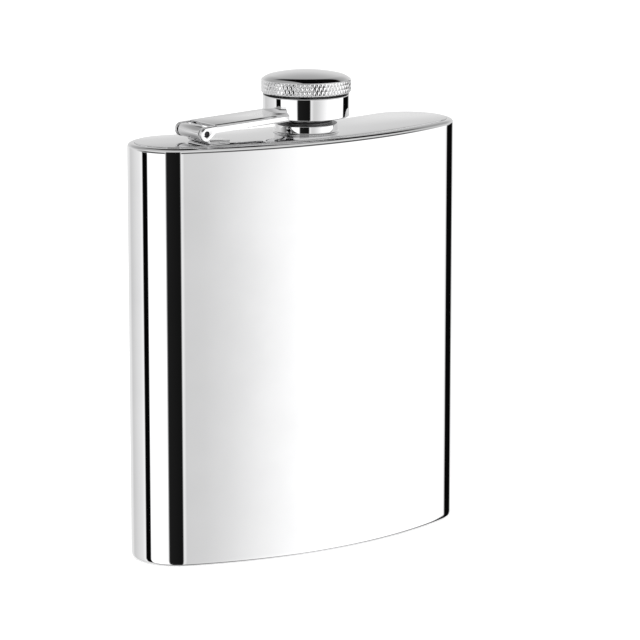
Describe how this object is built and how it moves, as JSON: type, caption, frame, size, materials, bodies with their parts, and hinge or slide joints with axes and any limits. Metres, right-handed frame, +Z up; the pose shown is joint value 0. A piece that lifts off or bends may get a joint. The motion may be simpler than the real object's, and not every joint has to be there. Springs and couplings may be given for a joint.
{
  "type": "hip flask",
  "caption": "Curved polished-steel hip flask with a threaded neck and a knurled screw cap held captive on a hinged arm.",
  "frame": {"origin": "point of the base plane that lies on the neck axis", "axes": "+Z up along the neck axis; the convex front faces -Y and the concave back +Y; +X runs from the hinge towards the cap and on to the far end"},
  "size_m": [0.095, 0.0311, 0.1216],
  "materials": {
    "polished_wall": "mirror polished stainless sheet",
    "polished_plate": "polished stainless plate with fine random hairlines",
    "base_steel": "satin stainless plate with fine rubbing marks",
    "turned_neck": "turned and polished stainless",
    "bracket_steel": "polished folded stainless",
    "pin_steel": "drawn steel wire, darker than the sheet",
    "arm_steel": "polished pressed stainless",
    "barrel_steel": "turned and polished stainless",
    "slip_ring": "natural nylon, slightly waxy",
    "cap_steel": "diamond-knurled side and polished dome",
    "insert_steel": "turned stainless, unpolished",
    "seal": "translucent white silicone"
  },
  "bodies": {
    "flask": {"body_wall": "polished_wall", "top_plate": "polished_plate", "base_plate": "base_steel", "neck": "turned_neck", "hinge_bracket": "bracket_steel"},
    "arm": {"cap_arm": "arm_steel", "cap_barrel": "barrel_steel", "hinge_pin": "pin_steel"},
    "carrier": {"slip_ring": "slip_ring"},
    "cap": {"cap_shell": "cap_steel", "cap_insert": "insert_steel", "cap_seal": "seal"}
  },
  "joints": [
    {"name": "arm_hinge", "type": "hinge", "parent": "flask", "child": "arm", "pos_m": [-0.0336, 0, 0.1089], "axis": [0, -1, 0], "range_deg": [0, 170]},
    {"name": "cap_lift", "type": "slide", "parent": "arm", "child": "carrier", "axis": [0, 0, 1], "range_m": [0, 0.003]},
    {"name": "cap_turn", "type": "hinge", "parent": "carrier", "child": "cap", "pos_m": [0, 0, 0.119], "axis": [0, 0, 1], "range_deg": [0, 540]}
  ],
  "couplings": [
    {"joint": "cap_lift", "follows": "cap_turn", "m_per_rad": 0.00031831}
  ]
}
